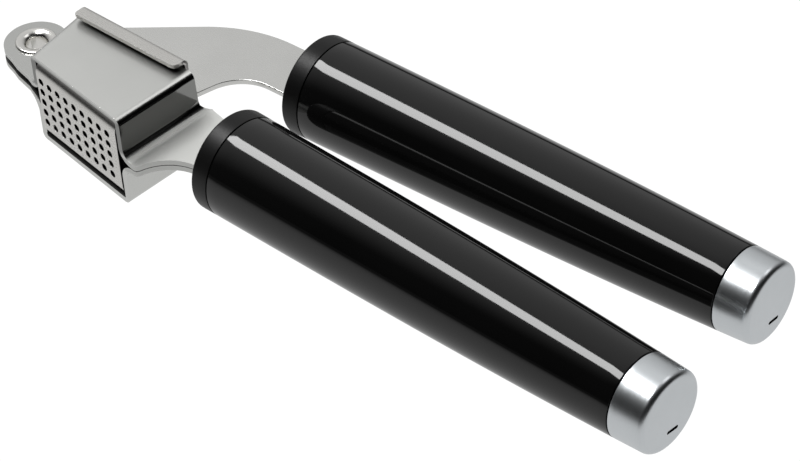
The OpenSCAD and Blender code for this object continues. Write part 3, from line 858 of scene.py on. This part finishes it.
def arm_outline():
    """Outline of the press arm, from its shoulder round to the eye."""
    tangent = direction(SHOULDER_ANGLE + 90) * EYE_RADIUS
    shoulder = crossing(tangent, SHOULDER_ANGLE, on_arm(0, ARM_HALF), ARM_ANGLE)
    hollow = crossing(BLADE_PLACE, BLADE_ANGLE, on_arm(0, -ARM_HALF), ARM_ANGLE)
    points = [
        *rounded(shoulder, SHOULDER_ANGLE, ARM_ANGLE, SHOULDER_RADIUS, 16),
        on_arm(1, ARM_HALF), on_arm(1, TANG_HALF), on_arm(TANG_LEN, TANG_HALF),
        on_arm(TANG_LEN, -TANG_HALF), on_arm(1, -TANG_HALF), on_arm(1, -ARM_HALF),
        *rounded(hollow, ARM_ANGLE + 180, BLADE_ANGLE + 180, HOLLOW_RADIUS, 14),
        BLADE_PLACE + Vector((-1.5, -6)), *arc(PIN_PLACE, TIP_RADIUS, 15, -130, 12),
        *arc((0, 0), EYE_RADIUS, -52, SHOULDER_ANGLE - 270, 36),
    ]
    return [tuple(p) for p in reversed(points)]


def press_arm():
    """The flat arm, with the holes for its two hinges and its tang pins."""
    pins = [circle(on_arm(x, 0), TANG_PIN_RADIUS, 24) for x in TANG_PINS]
    eye = circle((0, 0), RIVET_RADIUS + RUNNING_FIT)
    pivot = circle(PIN_PLACE, PLUNGER_PIN + RUNNING_FIT, 24)
    bm = blank(arm_outline(), [eye, pivot, *pins])
    tidy_flats(bm)
    bmesh.ops.translate(bm, vec=(0, 0, ARM_SHEET / 2), verts=bm.verts)
    return piece(bm, "press_arm", arm_steel, "press", wall=ARM_SHEET,
                 edge=SHEET_EDGE)


press_arm()

# %% [markdown]
# ## Turned pieces
# Rivet, collars, grips and caps are all round, so each is a profile spun about an axis. The
# profile is given as distance along the axis and radius, as on a lathe drawing, which is
# easier to change than the rings of a cylinder. It is spun about X and then laid along its
# handle, or stood up for the rivet.

# %% Spinning a profile
def spun(profile, closed):
    """A profile of (distance, radius) points spun about X, with its last point joined or not."""
    bm = bmesh.new()
    verts = [bm.verts.new((x, 0, r)) for x, r in profile]
    last = verts[:1] if closed else []
    edges = [bm.edges.new(pair) for pair in zip(verts, verts[1:] + last)]
    bmesh.ops.spin(bm, geom=verts + edges, cent=(0, 0, 0), axis=(1, 0, 0),
                   angle=2 * math.pi, steps=96, use_merge=True)
    bmesh.ops.remove_doubles(bm, verts=bm.verts, dist=0.0005)
    return bm


def turned(profile):
    """A solid of revolution. A profile that starts on the axis also ends there."""
    bm = spun(profile, closed=profile[0][1] > 0)
    bmesh.ops.recalc_face_normals(bm, faces=bm.faces)
    return bm


def lay_along(bm, place, angle):
    """Lays a turned piece along a handle that starts at place."""
    move = Matrix.Translation((*place, 0)) @ Matrix.Rotation(math.radians(angle), 4, "Z")
    bmesh.ops.transform(bm, matrix=move, verts=bm.verts)
    return bm


# %% Hinge rivet
RIVET_HOLE = 2.6
RIVET_HEAD = 5.3
RIVET_TOP = box_mm("hinge_rivet")[1].z
DISH_DEPTH = 1.5
LIP_WIDTH = 0.55


def hinge_rivet():
    """A tube rivet: its two ends are rolled out over the ears and dished inside."""
    throat, lip = RIVET_TOP - DISH_DEPTH, RIVET_HEAD - LIP_WIDTH
    dish = [(throat + (RIVET_TOP - throat) * math.sin(t), lip - (lip - RIVET_HOLE) * math.cos(t))
            for t in (QUARTER * i / 12 for i in range(13))]
    crown = [(EAR_TOP + (RIVET_TOP - EAR_TOP) * math.cos(t), lip + LIP_WIDTH * math.sin(t))
             for t in (QUARTER * i / 6 for i in range(1, 7))]
    half = [(0, RIVET_HOLE), *dish, *crown, (EAR_TOP, RIVET_RADIUS), (0, RIVET_RADIUS)]
    other = [(-x, r) for x, r in reversed(half[1:-1])]
    bm = turned([*half, *other])
    upright = Matrix.Rotation(-QUARTER, 4, "Y")
    bmesh.ops.transform(bm, matrix=upright, verts=bm.verts)
    return piece(bm, "hinge_rivet", rivet_steel, "frame")


hinge_rivet()

# %% [markdown]
# ## Handles
# Both handles are the same three turned pieces. The skin tapers slowly at first and faster
# towards the cap, and a narrow groove parts each piece from the next. They are three pieces
# and not one with three finishes, because the real grooves are gaps between parts.

# %% Sizes of a handle
HANDLE_LEN = 132
FRONT_RADIUS, REAR_RADIUS = 12.97, 10.0
BELLY = 0.59
COLLAR_LEN, CAP_LEN = 5.1, 9.2
COLLAR_EASE = 0.6
SEAM = 0.25
EASE = 0.15
CORE_RADIUS = 7.9
CAP_FRONT = HANDLE_LEN - CAP_LEN


def skin(x):
    """Radius of the handle at a distance from its front."""
    s = x / HANDLE_LEN
    return FRONT_RADIUS - (FRONT_RADIUS - REAR_RADIUS) * ((1 - BELLY) * s + BELLY * s ** 3)


# %% Collar and grip
def collar():
    """Short front ring with an eased front edge."""
    back = COLLAR_LEN - SEAM
    edge = [(COLLAR_EASE - COLLAR_EASE * math.sin(t),
             skin(0) - COLLAR_EASE + COLLAR_EASE * math.cos(t))
            for t in (QUARTER * i / 5 for i in range(5, -1, -1))]
    profile = [(0, 0), *edge, (back - 0.12, skin(back)), (back, skin(back) - 0.12),
               (back, CORE_RADIUS), (2, CORE_RADIUS), (2, 0)]
    return turned(profile)


def grip():
    """The long glossy skin."""
    straight = CAP_FRONT - COLLAR_LEN - 2 * EASE
    skin_points = [COLLAR_LEN + EASE + straight * i / 40 for i in range(41)]
    profile = [(COLLAR_LEN, CORE_RADIUS), (COLLAR_LEN, skin(COLLAR_LEN) - EASE),
               *[(x, skin(x)) for x in skin_points],
               (CAP_FRONT, skin(CAP_FRONT) - EASE), (CAP_FRONT, CORE_RADIUS)]
    return turned(profile)


# %% [markdown]
# ## End cap
# The cap's side and rounded edge are spun as an open skin. Its flat end is then filled around
# the slit's outline, which keeps the slit's edges sharp, and the slit is sunk to a floor. Its
# walls and floor are painted near-black: painted shade.
# Last, its front ring is carried inside the cap and closed, so that the cap is a solid body.

# %% End cap
CAP_ROUND = 1.5
SLIT_LEN, SLIT_WIDTH, SLIT_DEPTH = 3.8, 0.9, 2.8
SLIT_PLACE = Vector((0.7, -5.15))
SLIT_TILT = -7.6
CAP_PLUG = 4.0


def slit_loop():
    """Outline of the slit in the end face, with round ends."""
    half = (SLIT_LEN - SLIT_WIDTH) / 2
    end = SLIT_WIDTH / 2
    loop = arc((half, 0), end, -90, 90, 8) + arc((-half, 0), end, 90, 270, 8)
    turn = Matrix.Rotation(math.radians(SLIT_TILT), 2)
    return [turn @ Vector(p) + SLIT_PLACE for p in loop]


def end_cap():
    """A drawn metal cap with a rounded edge and a small slit in its face."""
    front = CAP_FRONT + SEAM
    edge_x = HANDLE_LEN - CAP_ROUND
    edge_r = skin(edge_x) - CAP_ROUND
    rounding = [(edge_x + CAP_ROUND * math.sin(t), edge_r + CAP_ROUND * math.cos(t))
                for t in (QUARTER * i / 8 for i in range(9))]
    steps = [front + EASE + (edge_x - front - EASE) * i / 6 for i in range(6)]
    profile = [(front, CORE_RADIUS), (front, skin(front) - EASE),
               *[(x, skin(x)) for x in steps], *rounding]
    bm = spun(profile, closed=False)
    face_ring = [e for e in bm.edges if e.is_boundary and e.verts[0].co.x > edge_x]
    slit = [bm.verts.new((HANDLE_LEN, p.x, p.y)) for p in slit_loop()]
    slit_ring = [bm.edges.new(pair) for pair in zip(slit, slit[1:] + slit[:1])]
    bmesh.ops.triangle_fill(bm, use_beauty=True, use_dissolve=False, edges=face_ring + slit_ring)
    for edge in slit_ring:
        edge.smooth = False
    sunk = bmesh.ops.extrude_edge_only(bm, edges=slit_ring)["geom"]
    floor_verts = [g for g in sunk if isinstance(g, bmesh.types.BMVert)]
    floor_edges = [g for g in sunk if isinstance(g, bmesh.types.BMEdge)]
    bmesh.ops.translate(bm, vec=(-SLIT_DEPTH, 0, 0), verts=floor_verts)
    floor = bmesh.ops.triangle_fill(bm, use_beauty=True, use_dissolve=False,
                                    edges=floor_edges)["geom"]
    # Painted shade: the slit's walls and floor take the near-black second finish.
    for face in sunk + floor:
        if isinstance(face, bmesh.types.BMFace):
            face.material_index = 1
    front_ring = [e for e in bm.edges if e.is_boundary]
    inner = bmesh.ops.extrude_edge_only(bm, edges=front_ring)["geom"]
    inner_verts = [g for g in inner if isinstance(g, bmesh.types.BMVert)]
    bmesh.ops.translate(bm, vec=(CAP_PLUG, 0, 0), verts=inner_verts)
    bmesh.ops.contextual_create(bm, geom=[g for g in inner if isinstance(g, bmesh.types.BMEdge)])
    bmesh.ops.recalc_face_normals(bm, faces=bm.faces)
    return bm


# %% Both handles
def handle(prefix, body, place, angle):
    """Collar, grip and cap of one handle."""
    for part, shape, material, slot, inner in (
            ("collar", collar, collar_matt, "collar_black", None),
            ("grip", grip, grip_gloss, "grip_black", None),
            ("end_cap", end_cap, cap_metal, "cap_metal", painted_shade_steel)):
        laid = lay_along(shape(), place, angle)
        piece(laid, f"{prefix}_{part}", material, body, inner=inner)


handle("frame", "frame", (HANDLE_X, HANDLE_Y), 0)
handle("arm", "press", ARM_PLACE, ARM_ANGLE)

# %% [markdown]
# ## Pieces that keep their CAD shape
# The plunger, its bracket and pin, and the cores and tang pins inside the handles already
# have their right shape. They only need a finish.

# %% Finishes for the CAD pieces
KEPT = {
    # The plunger plate takes the near-black steel: painted shade inside the basket.
    "plunger_plate": painted_shade_steel, "plunger_bracket": arm_steel, "plunger_pin": rivet_steel,
    "frame_core": core_plastic, "arm_core": core_plastic,
    "frame_tang_pins": rivet_steel, "arm_tang_pins": rivet_steel,
}
for node, material in KEPT.items():
    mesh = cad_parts[node].data
    mesh.materials.clear()
    mesh.materials.append(material)
print("kept CAD pieces:", len(KEPT))

# %% [markdown]
# ## Size of the CAD model
# The pieces stand for CAD nodes, so the whole model has to fill the same box. The size of
# the CAD model's box is printed.

print("CAD size", [round(v, 5) for v in cad_high - cad_low])
